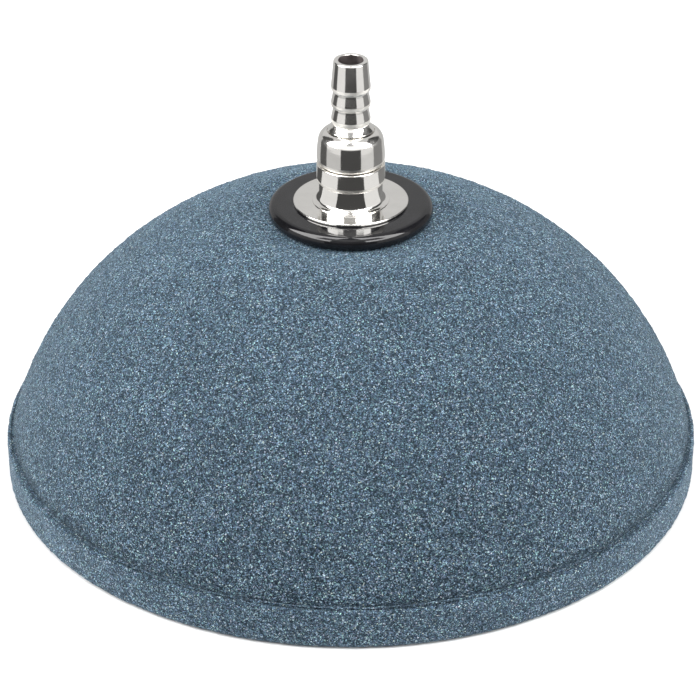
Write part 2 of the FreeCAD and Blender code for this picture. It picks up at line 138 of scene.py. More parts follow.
def turned(name, rows, segments, shape=None, smooth_rows=None, finishes=None):
    """Mesh turned about Z from rows in millimetres.

    segments is one count, or one for each row. shape(points, normals, row numbers)
    may move the points. Rows marked smooth keep the outline's own exact normals.
    finishes gives each row its number in the list of the piece's materials.
    """
    counts = np.full(len(rows), segments) if np.isscalar(segments) else np.array(segments)
    counts = np.where(rows[:, 0] < 1e-6, 1, counts)
    owner = np.repeat(np.arange(len(rows)), counts)
    starts = np.concatenate([[0], np.cumsum(counts)[:-1]])
    number = np.arange(len(owner)) - starts[owner]
    angle = 2 * math.pi * number / counts[owner]
    along = np.stack([np.cos(angle), np.sin(angle)], axis=1)
    points = np.column_stack([along * rows[owner, 0:1], rows[owner, 1]])
    normals = np.column_stack([along * rows[owner, 2:3], rows[owner, 3]])
    if shape is not None:
        points = shape(points, normals, owner)
    rings = [list(range(a, a + c)) for a, c in zip(starts.tolist(), counts.tolist())]
    faces, face_rows = [], []
    for k, ring in enumerate(rings):
        band = join_rings(ring, rings[(k + 1) % len(rings)])
        faces += band
        face_rows += [k] * len(band)
    mesh = bpy.data.meshes.new(name)
    mesh.from_pydata((points * MM).tolist(), [], faces)
    mesh.shade_smooth()
    if finishes is not None:
        mesh.polygons.foreach_set("material_index", np.asarray(finishes, np.int32)[face_rows])
    mesh.update()
    if smooth_rows is not None:
        own = np.empty(len(points) * 3, np.float32)
        mesh.vertices.foreach_get("normal", own)
        kept = np.asarray(smooth_rows)[owner]
        mixed = np.where(kept[:, None], normals, own.reshape(-1, 3))
        mesh.normals_split_custom_set_from_vertices(mixed.tolist())
    piece = bpy.data.objects.new(name, mesh)
    bpy.context.scene.collection.objects.link(piece)
    return piece


def place(piece, body, nodes, slot, *materials):
    """Ride a piece on its body in place of its CAD node, with its finish."""
    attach(piece, body)
    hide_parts(*nodes)
    for material in materials:
        piece.data.materials.append(material)
    return piece


def low(name):
    """Lowest point of a CAD node in millimetres."""
    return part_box(name)[0][2] / MM


def high(name):
    """Highest point of a CAD node in millimetres."""
    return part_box(name)[1][2] / MM


def reach(name):
    """Outer radius of a CAD node in millimetres."""
    return max(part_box(name)[1][0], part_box(name)[1][1]) / MM


def thread(points, owner, rows_in, crest, depth, pitch, ends):
    """Right-hand thread cut into the rows marked, fading out at both ends. Millimetres."""
    marked = rows_in[owner]
    angle = np.arctan2(points[:, 1], points[:, 0])
    turn = points[:, 2] / pitch - angle / (2 * math.pi)
    wave = np.abs((turn % 1.0) * 2 - 1)
    tooth = np.clip((wave - 0.12) / 0.76, 0, 1)
    fade = np.clip(np.minimum(points[:, 2] - ends[0], ends[1] - points[:, 2]) / (pitch * 0.6), 0, 1)
    radius = np.hypot(points[:, 0], points[:, 1])
    wanted = crest - depth * (1 - (1 - tooth) * fade)
    scale = np.where(marked, np.minimum(wanted, radius) / np.maximum(radius, 1e-6), 1.0)
    moved = points.copy()
    moved[:, :2] *= scale[:, None]
    return moved


# ---------------------------------------------------------------- material nodes

def new_material(name):
    material = bpy.data.materials.new(name)
    material.use_nodes = True
    return material, material.node_tree, material.node_tree.nodes["Principled BSDF"]


def node(tree, kind, **settings):
    made = tree.nodes.new(kind)
    for key, value in settings.items():
        if key in made.inputs:
            made.inputs[key].default_value = value
        else:
            setattr(made, key, value)
    return made


def ramp(tree, source, stops, interpolation="LINEAR"):
    """Colour ramp over a value, from (position, colour) stops."""
    made = tree.nodes.new("ShaderNodeValToRGB")
    made.color_ramp.interpolation = interpolation
    elements = made.color_ramp.elements
    while len(elements) < len(stops):
        elements.new(0.5)
    for element, (position, colour) in zip(elements, stops):
        element.position = position
        element.color = (*colour, 1.0) if len(colour) == 3 else colour
    tree.links.new(source, made.inputs["Fac"])
    return made.outputs["Color"]


def level(tree, source, low_in, high_in, low_out, high_out):
    """Number carried in a straight line from one range to another, and held at its ends."""
    made = tree.nodes.new("ShaderNodeMapRange")
    limits = {"From Min": low_in, "From Max": high_in, "To Min": low_out, "To Max": high_out}
    for key, value in limits.items():
        made.inputs[key].default_value = value
    tree.links.new(source, made.inputs["Value"])
    return made.outputs["Result"]


def mix(tree, kind, factor, first, second):
    """Colour mix; a factor or colour may be a socket or a plain value."""
    made = tree.nodes.new("ShaderNodeMix")
    made.data_type = "RGBA"
    made.blend_type = kind
    for socket, value in ((made.inputs[0], factor), (made.inputs[6], first), (made.inputs[7], second)):
        if isinstance(value, bpy.types.NodeSocket):
            tree.links.new(value, socket)
        else:
            socket.default_value = value
    return made.outputs[2]


def maths(tree, operation, *values):
    """One number from sockets or plain values."""
    made = tree.nodes.new("ShaderNodeMath")
    made.operation = operation
    for socket, value in zip(made.inputs, values):
        if isinstance(value, bpy.types.NodeSocket):
            tree.links.new(value, socket)
        else:
            socket.default_value = value
    return made.outputs[0]


def object_place(tree):
    return tree.nodes.new("ShaderNodeTexCoord").outputs["Object"]


def painted_foot_shade(tree, spot, foot):
    """Painted shade at the dome's foot: fades upwards with a wandering edge, stronger at the sides than at
    the front.
    """
    axes = tree.nodes.new("ShaderNodeSeparateXYZ")
    tree.links.new(spot, axes.inputs[0])
    wander = node(tree, "ShaderNodeTexNoise", Scale=420.0, Detail=3.0)
    tree.links.new(spot, wander.inputs["Vector"])
    drift = level(tree, wander.outputs["Fac"], 0.3, 0.7, -0.9 * MM, 0.9 * MM)
    height = maths(tree, "ADD", axes.outputs["Z"], drift)
    depth = level(tree, height, (foot + 0.9) * MM, (foot + 3.1) * MM, 1.0, 0.0)
    aside = maths(tree, "ABSOLUTE", axes.outputs["X"])
    strength = level(tree, aside, 0.015, 0.058, 0.10, 0.50)
    return maths(tree, "SUBTRACT", 1.0, maths(tree, "MULTIPLY", depth, strength))


def grit_material(name, lift, contrast, bump, uneven=0.10, foot=None):
    """Sintered mineral grit: grains of two sizes, each of its own tone, over slow patches.

    foot is a height in millimetres above which painted shade darkens the grit unevenly.
    """
    material, tree, shader = new_material(name)
    spot = object_place(tree)
    coarse = node(tree, "ShaderNodeTexVoronoi", Scale=GRAINS_COARSE, Randomness=1.0)
    fine = node(tree, "ShaderNodeTexVoronoi", Scale=GRAINS_FINE, Randomness=1.0)
    patches = node(tree, "ShaderNodeTexNoise", Scale=160.0, Detail=3.0)
    for texture in (coarse, fine, patches):
        tree.links.new(spot, texture.inputs["Vector"])
    split = tree.nodes.new("ShaderNodeSeparateColor")
    tree.links.new(coarse.outputs["Color"], split.inputs[0])
    split_fine = tree.nodes.new("ShaderNodeSeparateColor")
    tree.links.new(fine.outputs["Color"], split_fine.inputs[0])
    middle = (0.048, 0.073, 0.099)

    def tone(strength, warmth=0.0):
        power = 1 + (strength - 1) * contrast
        shifted = (1 + warmth, 1.0, 1 - warmth)
        return [min(1.0, c * lift * power * w) for c, w in zip(middle, shifted)]

    tones = ramp(tree, split.outputs[0], [
        (0.0, tone(0.0)), (0.25, tone(0.17)), (0.55, tone(0.88)),
        (0.80, tone(2.0, 0.04)), (0.93, tone(3.6, 0.12)), (1.0, tone(6.8, 0.25)),
    ])
    hues = ramp(tree, split.outputs[1], [
        (0.0, (0.84, 0.93, 1.12)), (0.22, (0.95, 1.0, 1.03)), (0.42, (1.0, 1.0, 1.0)),
        (0.58, (0.86, 1.10, 1.00)), (0.74, (1.12, 0.93, 1.05)), (0.88, (1.16, 1.05, 0.90)),
    ], "CONSTANT")
    grain = mix(tree, "MULTIPLY", 1.0, tones, hues)
    specks = ramp(tree, split_fine.outputs[0], [
        (0.0, (0.2, 0.2, 0.21)), (0.5, (1, 1, 1)), (1.0, (2.1, 2.1, 2.06)),
    ])
    grain = mix(tree, "MULTIPLY", 0.9, grain, specks)
    blotch = level(tree, patches.outputs["Fac"], 0.3, 0.7, 1 - uneven, 1 + uneven)
    grain = mix(tree, "MULTIPLY", 1.0, grain, blotch)
    # Painted shade at the dome's foot, darkest low down and at the left and right sides.
    if foot is not None:
        grain = mix(tree, "MULTIPLY", 1.0, grain, painted_foot_shade(tree, spot, foot))
    tree.links.new(grain, shader.inputs["Base Color"])
    rough = level(tree, split_fine.outputs[1], 0.0, 1.0, 0.55, 0.95)
    tree.links.new(rough, shader.inputs["Roughness"])
    shader.inputs["Diffuse Roughness"].default_value = 1.0
    shader.inputs["Specular IOR Level"].default_value = 0.3
    shader.inputs["Specular Tint"].default_value = (0.45, 0.72, 1.0, 1.0)
    shader.inputs["Sheen Weight"].default_value = 0.10
    shader.inputs["Sheen Tint"].default_value = (0.55, 0.80, 1.0, 1.0)
    shader.inputs["Sheen Roughness"].default_value = 0.5
    height = maths(tree, "ADD", coarse.outputs["Distance"], fine.outputs["Distance"])
    relief = node(tree, "ShaderNodeBump", Strength=bump, Distance=0.0002)
    relief.invert = True
    tree.links.new(height, relief.inputs["Height"])
    tree.links.new(relief.outputs["Normal"], shader.inputs["Normal"])
    return material


def nickel_material(name, colour, roughness, marks):
    """Polished plate: faint turning marks round the axis and slight smudges."""
    material, tree, shader = new_material(name)
    shader.inputs["Metallic"].default_value = 1.0
    spot = object_place(tree)
    stretch = node(tree, "ShaderNodeMapping")
    stretch.inputs["Scale"].default_value = (60.0, 60.0, 9000.0)
    tree.links.new(spot, stretch.inputs["Vector"])
    rings = node(tree, "ShaderNodeTexNoise", Scale=1.0, Detail=2.0)
    tree.links.new(stretch.outputs["Vector"], rings.inputs["Vector"])
    smudge = node(tree, "ShaderNodeTexNoise", Scale=260.0, Detail=4.0)
    tree.links.new(spot, smudge.inputs["Vector"])
    tint = ramp(tree, smudge.outputs["Fac"], [(0.3, [c * 0.94 for c in colour]), (0.7, colour)])
    tree.links.new(tint, shader.inputs["Base Color"])
    rough = level(tree, smudge.outputs["Fac"], 0.35, 0.7, roughness, roughness * 2.0)
    tree.links.new(rough, shader.inputs["Roughness"])
    relief = node(tree, "ShaderNodeBump", Strength=marks, Distance=0.00001)
    tree.links.new(rings.outputs["Fac"], relief.inputs["Height"])
    tree.links.new(relief.outputs["Normal"], shader.inputs["Normal"])
    return material


def rubber_material(name, roughness):
    """Moulded black rubber: slight bloom and fine unevenness in its gloss."""
    material, tree, shader = new_material(name)
    spot = object_place(tree)
    bloom = node(tree, "ShaderNodeTexNoise", Scale=350.0, Detail=5.0)
    dust = node(tree, "ShaderNodeTexVoronoi", Scale=1500.0)
    for texture in (bloom, dust):
        tree.links.new(spot, texture.inputs["Vector"])
    tint = ramp(tree, bloom.outputs["Fac"], [(0.3, (0.005, 0.005, 0.006)), (0.75, (0.010, 0.010, 0.012))])
    fleck = ramp(tree, dust.outputs["Distance"], [(0.0, (1, 1, 1)), (0.06, (0, 0, 0))])
    tint = mix(tree, "ADD", 0.03, tint, fleck)
    tree.links.new(tint, shader.inputs["Base Color"])
    rough = level(tree, bloom.outputs["Fac"], 0.3, 0.7, roughness * 0.8, roughness * 1.3)
    tree.links.new(rough, shader.inputs["Roughness"])
    shader.inputs["Specular IOR Level"].default_value = 0.4
    relief = node(tree, "ShaderNodeBump", Strength=0.03, Distance=0.0001)
    tree.links.new(bloom.outputs["Fac"], relief.inputs["Height"])
    tree.links.new(relief.outputs["Normal"], shader.inputs["Normal"])
    return material


def plain_material(name, dark, light, roughness, metallic=0.0, scale=500.0, bump=0.1):
    """Finish for small parts: mottled tone, uneven gloss and a fine surface."""
    material, tree, shader = new_material(name)
    shader.inputs["Metallic"].default_value = metallic
    spot = object_place(tree)
    mottle = node(tree, "ShaderNodeTexNoise", Scale=scale, Detail=6.0)
    tree.links.new(spot, mottle.inputs["Vector"])
    tint = ramp(tree, mottle.outputs["Fac"], [(0.3, dark), (0.7, light)])
    tree.links.new(tint, shader.inputs["Base Color"])
    rough = level(tree, mottle.outputs["Fac"], 0.3, 0.7, roughness * 0.8, roughness * 1.2)
    tree.links.new(rough, shader.inputs["Roughness"])
    relief = node(tree, "ShaderNodeBump", Strength=bump, Distance=0.0001)
    tree.links.new(mottle.outputs["Fac"], relief.inputs["Height"])
    tree.links.new(relief.outputs["Normal"], shader.inputs["Normal"])
    return material


GRAINS_COARSE = 5200.0
GRAINS_FINE = 8600.0
# foot sets the height where the painted shade at the dome's foot begins.
GRIT = grit_material("dome_grit", lift=0.90, contrast=1.0, bump=0.5, foot=low("dome_shell"))
BASE_GRIT = grit_material("base_grit", lift=1.04, contrast=0.88, bump=0.4)
# Grit for the lip and resin seam, darker and blotchier than the dome and base grit: painted shade in the
# crease.
SHADED_SEAM_GRIT = grit_material("shaded_seam_grit", lift=0.85, contrast=1.0, bump=0.5, uneven=0.3)
NICKEL = nickel_material("polished_nickel", (0.84, 0.825, 0.80), 0.075, 0.12)
SATIN = nickel_material("satin_nickel", (0.80, 0.78, 0.74), 0.30, 0.1)
BORE = plain_material("stained_bore", (0.05, 0.04, 0.04), (0.09, 0.078, 0.076), 0.55, metallic=0.6)
RUBBER = rubber_material("black_rubber", 0.06)
LACQUER = plain_material("lacquer", (0.035, 0.045, 0.058), (0.065, 0.08, 0.10), 0.25, scale=220.0)
ZINC = plain_material("zinc_steel", (0.50, 0.51, 0.52), (0.68, 0.69, 0.70), 0.3, metallic=1.0)
SPRING = plain_material("spring_steel", (0.30, 0.30, 0.31), (0.45, 0.45, 0.46), 0.25, metallic=1.0)
PLASTIC = plain_material("slip_plastic", (0.70, 0.70, 0.67), (0.82, 0.82, 0.79), 0.4)


# ---------------------------------------------------------------- grit dome and base

CROWN = low("top_gasket")
SEAM = low("dome_shell")
RIM = reach("base_plate")
RIM_TOP = 8.2
LIP = 0.9
FOOT = 63.6
INNER_FOOT = 55.145
CROWN_CENTRE = -16.81
CROWN_FLAT, DOME_BORE, INNER_FLAT = 20.99, 5.6, 19.6
PLATE_BORE, COUNTERBORE, HUB, LAND_WIDTH = 5.4, 14.0, 19.0, 11.0
LOCATING_RING, LOCATING_WIDTH, LOCATING_HEIGHT = 52.8, 4.2, 3.6
FINE_COUNT = 736
GRAIN_STEP = 0.55


def ripple(points, frequency, share):
    """Smooth noise at each point, with a share of finer noise added."""
    coarse, fine = frequency
    return np.array([
        noise.noise(Vector(p) * coarse) + share * noise.noise(Vector(p) * fine) for p in points.tolist()
    ])


def gravel(points, normals, owner, weight, grain, lump, sink):
    """Roughen a surface: one random step for each grain and slow lumps under them."""
    amount = RANDOM.normal(0.0, grain, len(points)).clip(-2.2 * grain, 2.2 * grain)
    slow = ripple(points, (0.35, 0.9), 0.6)
    share = weight[owner]
    points = points + normals * ((amount + lump * slow - sink) * share)[:, None]
    jitter = RANDOM.uniform(-0.10, 0.10, points.shape)
    jitter -= normals * (jitter * normals).sum(axis=1)[:, None]
    return points + jitter * share[:, None]


def dome_rows():
    """Dome outline: two tangent arcs outside, and the same set in by the wall."""
    wall = 8.5
    crown_arc, side_arc, blend = 70.46, 61.55, math.radians(33.69)
    crown_centre = np.array([0.0, CROWN_CENTRE])
    side_centre = crown_centre + (crown_arc - side_arc) * np.array([math.sin(blend), math.cos(blend)])

    def arcs(inset, first_level, last_level, step):
        crown, side = crown_arc - inset, side_arc - inset
        start = math.asin((first_level - side_centre[1]) / side)
        seam = math.pi / 2 - blend
        stop = math.asin((last_level - crown_centre[1]) / crown)
        rows = []
        for centre, radius, a, b in ((side_centre, side, start, seam), (crown_centre, crown, seam, stop)):
            pieces = max(2, math.ceil(abs(b - a) * radius / step))
            for k in range(pieces):
                angle = a + (b - a) * k / pieces
                rows.append((centre[0] + radius * math.cos(angle), centre[1] + radius * math.sin(angle)))
        return rows

    outer = arcs(0.0, SEAM + 1.1, CROWN - 0.5, GRAIN_STEP)
    inner = arcs(wall, SEAM, CROWN - wall, 4.0)
    corners = [(FOOT, SEAM, 0.3)] + outer
    corners += [(CROWN_FLAT, CROWN, 6.0), (DOME_BORE, CROWN, 0.3), (DOME_BORE, CROWN - wall, 0.3)]
    corners += [(INNER_FLAT, CROWN - wall, 1.0)] + inner[::-1][:-1] + [(INNER_FOOT, SEAM, 0.3)]
    return ease(corners, step=GRAIN_STEP)


def ring_counts(rows, fine, visible):
    """Count for each row: fine where seen, halving step by step to a coarse inside."""
    wanted = []
    for (radius, _, _, _), seen in zip(rows, visible):
        if not seen:
            wanted.append(fine // 8)
        elif radius > 30:
            wanted.append(fine)
        elif radius > 14:
            wanted.append(fine // 2)
        else:
            wanted.append(fine // 8)
    for _ in range(4):
        for i in range(len(wanted)):
            wanted[i] = max(wanted[i], wanted[i - 1] // 2, wanted[(i + 1) % len(wanted)] // 2)
    return wanted


def thin_hidden(rows, visible, every):
    """Leave out most of the closely spaced rows where nobody looks."""
    keep = []
    for i in range(len(rows)):
        turning = abs(rows[i][2] - rows[i - 1][2]) + abs(rows[i][3] - rows[i - 1][3]) > 0.02
        keep.append(visible[i] or turning or i % every == 0)
    return np.array(keep)


def make_dome():
    rows = dome_rows()
    visible = (rows[:, 3] > -0.2) & (rows[:, 0] > 14.0) & (rows[:, 2] > -0.1)
    visible |= rows[:, 0] > FOOT - 1.1
    keep = thin_hidden(rows, visible, 8)
    rows, visible = rows[keep], visible[keep]
    weight = visible.astype(float)

    def rough(points, normals, owner):
        return gravel(points, normals, owner, weight, 0.055, 0.10, 0.05)

    piece = turned("grit_dome", rows, ring_counts(rows, FINE_COUNT, visible), rough)
    return place(piece, "stone", ["dome_shell"], "grit", GRIT)


def make_base():
    recess = high("base_seal_coat")
    counterbore = high("base_gasket")
    hub_top = high("base_plate")
    floor_top = low("rim_bond")
    land = RIM - LAND_WIDTH
    ring_top = floor_top + LOCATING_HEIGHT
    ring_inner = LOCATING_RING - LOCATING_WIDTH
    corners = [
        (PLATE_BORE, counterbore, 0.2), (COUNTERBORE, counterbore, 0.3), (COUNTERBORE, recess, 0.4),
        (land, recess, 0.3), (land, 0.0, 0.5), (RIM, 0.0, 1.3), (RIM, RIM_TOP, 0.6),
        (RIM - LIP, RIM_TOP - 0.3, 0.2), (RIM - LIP, floor_top, 0.1),
        (LOCATING_RING, floor_top, 0.2), (LOCATING_RING, ring_top, 0.5), (ring_inner, ring_top, 0.5),
        (ring_inner, floor_top, 0.3), (HUB, floor_top, 0.5), (HUB, hub_top, 0.5),
        (PLATE_BORE, hub_top, 0.2),
    ]
    rows = ease(corners, step=GRAIN_STEP, arc_steps=3)
    visible = (rows[:, 1] < RIM_TOP + 0.1) & (rows[:, 0] > land - 3)
    visible |= (rows[:, 1] < recess + 0.1) & (rows[:, 0] < 16) & (rows[:, 0] > 13.5)
    visible &= ~((rows[:, 1] > SEAM - 1.0) & (rows[:, 0] < RIM - 3.0))
    keep = thin_hidden(rows, visible, 8)
    rows, visible = rows[keep], visible[keep]
    weight = np.where(visible, np.where(rows[:, 0] > land - 3, 1.0, 0.4), 0.0)
    weight[(rows[:, 1] > SEAM - 0.4) & (rows[:, 0] < RIM - 0.6)] *= 0.4

    def rough(points, normals, owner):
        moved = gravel(points, normals, owner, weight, 0.035, 0.05, 0.12)
        moved[:, 2] = np.maximum(moved[:, 2], 0.0)
        return moved

    # The lip's faces in the crease take the darker seam grit: painted shade.
    lip = (rows[:, 1] > SEAM - 0.2) & (rows[:, 1] < RIM_TOP + 0.1)
    lip &= (rows[:, 0] > FOOT) & (rows[:, 0] < RIM - 0.3)
    piece = turned("grit_base", rows, ring_counts(rows, FINE_COUNT, visible), rough, finishes=lip)
    return place(piece, "stone", ["base_plate"], "grit", BASE_GRIT, SHADED_SEAM_GRIT)


def make_seam():
    """Resin seam whose uneven bead stands highest at the front and the back."""
    bottom, top = low("rim_bond"), high("rim_bond")
    edge = RIM - LIP
    corners = [(INNER_FOOT, bottom, 0.1), (edge, bottom, 0.1), (edge, top, 0.1), (INNER_FOOT, top, 0.1)]
    rows = ease(corners, step=0.5, arc_steps=4)
    bead = (rows[:, 0] > FOOT - 0.2) & (rows[:, 1] > top - 0.12)

    def uneven(points, normals, owner):
        lumps = ripple(points, (0.5, 2.0), 0.5)
        fill = (points[:, 1] / np.hypot(points[:, 0], points[:, 1])) ** 2
        rise = 0.20 + 0.26 * fill + 0.12 * lumps
        moved = points.copy()
        moved[:, 2] += np.where(bead[owner], rise, 0.0)
        return moved

    # The resin bead takes the darker seam grit: painted shade in the crease.
    piece = turned("seam_resin_ring", rows, FINE_COUNT, uneven)
    return place(piece, "stone", ["rim_bond"], "resin", SHADED_SEAM_GRIT)


# ---------------------------------------------------------------- gasket, disc, stem, ring

FINE_TURN = 192
SHANK, NECK, SPIGOT, THREAD_END = 4.95, 5.76, 4.5, 17.0
SHANK_PITCH, SPIGOT_PITCH = 1.0, 0.75
STEM_FOOT, STEM_SOCKET, STEM_BORE, BORE_FLOOR = 7.05, 2.95, 2.0, 16.0
GASKET_BORE, DISC_BORE, RING_BORE, RING_REACH = 5.1, 5.05, 5.02, 6.2


def make_gasket():
    bottom, top, edge = low("top_gasket"), high("top_gasket"), reach("top_gasket")
    half = (top - bottom) / 2
    corners = [
        (GASKET_BORE, bottom, 0.15), (edge, bottom, half * 0.98),
        (edge, top, half * 0.98), (GASKET_BORE, top, 0.15),
    ]
    rows = ease(corners, arc_steps=12)
    piece = turned("crown_gasket", rows, FINE_TURN, smooth_rows=np.ones(len(rows), bool))
    return place(piece, "stone", ["top_gasket"], "rubber", RUBBER)


def make_disc():
    bottom, top, edge = low("flange_disc"), high("flange_disc"), reach("flange_disc")
    corners = [(DISC_BORE, bottom, 0.08), (edge, bottom, 0.2), (edge, top, 0.24), (DISC_BORE, top, 0.08)]
    rows = ease(corners, arc_steps=8)
    piece = turned("polished_disc", rows, FINE_TURN, smooth_rows=np.ones(len(rows), bool))
    return place(piece, "stone", ["flange_disc"], "polished_nickel", NICKEL)


def make_stem():
    foot = high("flange_disc")
    ring_low, ring_high = low("seat_ring"), high("seat_ring")
    end, top = low("inlet_stem"), high("inlet_stem")
    flare = bow((6.56, foot + 0.14), (NECK, foot + 0.94), -0.8, 8)
    corners = [
        (0.0, end), (SHANK, end, 0.5), (SHANK, THREAD_END), (SHANK, foot + 0.56, 0.05),
        (5.6, foot + 0.56, 0.05), (5.6, foot, 0.05), (STEM_FOOT, foot, 0.04),
        (STEM_FOOT, foot + 0.14, 0.06), (6.56, foot + 0.14), *flare,
        (NECK, foot + 0.94), (NECK, ring_low, 0.08),
        (5.0, ring_low, 0.05), (5.0, ring_high, 0.05), (SPIGOT, ring_high, 0.05), (SPIGOT, top, 0.3),
        (STEM_SOCKET, top, 0.15), (STEM_SOCKET, top - 3.2, 0.1), (STEM_BORE, top - 3.2, 0.2),
        (STEM_BORE, BORE_FLOOR, 0.2), (0.0, BORE_FLOOR),
    ]
    rows = ease(corners, step=0.085, arc_steps=8)
    shank = (rows[:, 0] > 4.0) & (rows[:, 1] < THREAD_END)
    spigot = (rows[:, 0] > 4.2) & (rows[:, 1] > ring_high - 0.01)
    plain = ~(shank | spigot)
    bulk = plain & (rows[:, 2] ** 2 > 0.999) & (np.arange(len(rows)) % 12 != 0)
    keep = ~(bulk & ((rows[:, 1] < foot - 1) | (rows[:, 0] < 4.0)))
    rows, shank, spigot, plain = rows[keep], shank[keep], spigot[keep], plain[keep]

    def threads(points, normals, owner):
        cut = thread(points, owner, shank, SHANK, 0.6, SHANK_PITCH, (end + 0.1, THREAD_END - 0.2))
        return thread(cut, owner, spigot, SPIGOT, 0.42, SPIGOT_PITCH, (ring_high + 0.5, top))

    piece = turned("stem", rows, FINE_TURN // 2, threads, smooth_rows=plain)
    return place(piece, "stone", ["inlet_stem"], "polished_nickel", NICKEL)


def make_seat_ring():
    bottom, top = low("seat_ring"), high("seat_ring")
    edge = bow((5.85, bottom + 0.02), (RING_REACH, bottom + 0.95), 1.4, 8)
    corners = [
        (RING_BORE, bottom, 0.08), (5.85, bottom, 0.1), *edge,
        (RING_REACH, bottom + 0.95), (RING_REACH, top, 0.16), (RING_BORE, top, 0.1),
    ]
    rows = ease(corners, arc_steps=8)
    lip = (rows[:, 1] < bottom + 0.8) & (rows[:, 0] > 5.5)
    piece = turned("neck_ring", rows, FINE_TURN, smooth_rows=np.ones(len(rows), bool), finishes=lip)
    return place(piece, "stone", ["seat_ring"], "polished_nickel", NICKEL, SATIN)


# ---------------------------------------------------------------- cap and tail

CAP_BORE, CAP_HOLE, CAP_WALL = 4.6, 3.27, 1.5
BARB_FIRST, BARB_PITCH, BARB_COUNT, BARB_RISE = 69.25, 3.1, 3, 0.32
BARB_CREST, BARB_ROOT = 3.55, 3.22
NOSE, NOSE_BORE, NOSE_GROOVE = 2.8, 1.6, 2.2
TAIL_BORE, TAIL_SEAT, TAIL_SHAFT, COLLAR_REACH = 2.23, 2.95, 3.15, 4.2


def make_cap():
    bottom, top = low("union_cap"), high("union_cap")
    ceiling = top - CAP_WALL
    side, waist = (6.2, bottom + 1.1), (5.92, bottom + 4.5)
    shoulder = (4.32, top - 0.08)
    edge = bow((5.7, bottom + 0.02), side, 1.4, 8)
    corners = [
        (CAP_BORE, bottom, 0.25), (5.7, bottom, 0.12), *edge, side, *bow(side, waist, 28.0, 6), waist,
        *bow(waist, shoulder, 2.217, 16), shoulder, (4.26, top - 0.3, 0.05), (CAP_HOLE, top - 0.3, 0.05),
        (CAP_HOLE, ceiling, 0.1), (CAP_BORE, ceiling, 0.1),
    ]
    rows = ease(corners, step=0.12, arc_steps=8)
    inside = (rows[:, 0] < CAP_BORE + 0.05) & (rows[:, 1] < ceiling - 1.0)

    def inner_thread(points, normals, owner):
        angle = np.arctan2(points[:, 1], points[:, 0])
        turn = points[:, 2] / SPIGOT_PITCH - angle / (2 * math.pi)
        wave = np.clip(np.abs((turn % 1.0) * 2 - 1) * 1.3 - 0.15, 0, 1)
        ends = np.clip(np.minimum(points[:, 2] - bottom - 0.3, ceiling - 1.0 - points[:, 2]) / 0.4, 0, 1)
        moved = points.copy()
        moved[:, :2] *= (1 + np.where(inside[owner], 0.06 * wave * ends, 0.0))[:, None]
        return moved

    lip = (rows[:, 1] < bottom + 0.95) & (rows[:, 0] > 5.5)
    piece = turned("bell_cap", rows, FINE_TURN, inner_thread, smooth_rows=~inside, finishes=lip)
    return place(piece, "cap", ["union_cap"], "polished_nickel", NICKEL, SATIN)


def barb_corners():
    """Barbs from the lowest up: a quick rise, a short rounded crest and a long taper."""
    corners = []
    for k in range(BARB_COUNT):
        base = BARB_FIRST + BARB_PITCH * k
        corners += [(BARB_ROOT, base, 0.18), (BARB_CREST, base + BARB_RISE, 0.28)]
        corners.append((BARB_CREST, base + 1.0, 0.5))
        if k < BARB_COUNT - 1:
            corners.append((BARB_ROOT, base + BARB_PITCH - 0.45, 0.4))
    return corners


def make_tail():
    bottom, top = low("hose_tail"), high("hose_tail")
    seat_low, seat_top = low("retaining_ring"), high("retaining_ring")
    collar = high("union_cap") + 0.05
    flare = bow((COLLAR_REACH, collar + 0.22), (3.3, collar + 1.35), -3.0, 8)
    corners = [
        (NOSE_BORE, bottom, 0.1), (NOSE, bottom, 0.25), (NOSE, bottom + 0.8, 0.05),
        (NOSE_GROOVE, bottom + 0.8, 0.05), (NOSE_GROOVE, bottom + 1.6, 0.05), (NOSE, bottom + 1.6, 0.05),
        (NOSE, seat_low, 0.05), (TAIL_SEAT, seat_low, 0.05), (TAIL_SEAT, seat_top, 0.05),
        (TAIL_SHAFT, seat_top, 0.05), (TAIL_SHAFT, collar, 0.05), (COLLAR_REACH, collar, 0.08),
        (COLLAR_REACH, collar + 0.2, 0.08), *flare,
        *barb_corners(),
        (3.1, top, 0.3), (TAIL_BORE, top, 0.16), (TAIL_BORE, seat_top, 0.1),
        (NOSE_BORE, seat_top - 1.0, 0.3),
    ]
    rows = ease(corners, step=0.4, arc_steps=10)
    bore = rows[:, 0] < 2.3
    finishes = np.where(bore & (rows[:, 1] < top - 0.05) & (rows[:, 1] > seat_low), 2, 0)
    for k in range(BARB_COUNT):
        crest = BARB_FIRST + BARB_PITCH * k + BARB_RISE
        lip = (rows[:, 1] > crest - 0.45) & (rows[:, 1] < crest + 0.55) & ~bore
        finishes[lip] = 1
    piece = turned("barbed_tail", rows, FINE_TURN, smooth_rows=np.ones(len(rows), bool), finishes=finishes)
    return place(piece, "tail", ["hose_tail"], "polished_nickel", NICKEL, SATIN, BORE)


def finish_cad_nodes():
    """Materials for the CAD parts that stay as they are."""
    finishes = {
        "base_seal_coat": LACQUER, "base_gasket": RUBBER, "tail_o_ring": RUBBER, "stem_o_ring": RUBBER,
        "flat_washer": ZINC, "hex_nut": ZINC, "spring_washer": SPRING, "retaining_ring": SPRING,
        "slip_washer": PLASTIC,
    }
    for name, material in finishes.items():
        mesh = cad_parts[name].data
        mesh.materials.clear()
        mesh.materials.append(material)


# ---------------------------------------------------------------- studio

def soft_panel(name, spot, aim, size, power):
    light = bpy.data.lights.new(name, "AREA")
    light.shape = "RECTANGLE"
    light.size, light.size_y = size
    light.energy = power
    lamp = bpy.data.objects.new(name, light)
    lamp.location = spot
    lamp.rotation_mode = "QUATERNION"
    lamp.rotation_quaternion = (Vector(aim) - Vector(spot)).to_track_quat("-Z", "Y")
    bpy.context.scene.collection.objects.link(lamp)


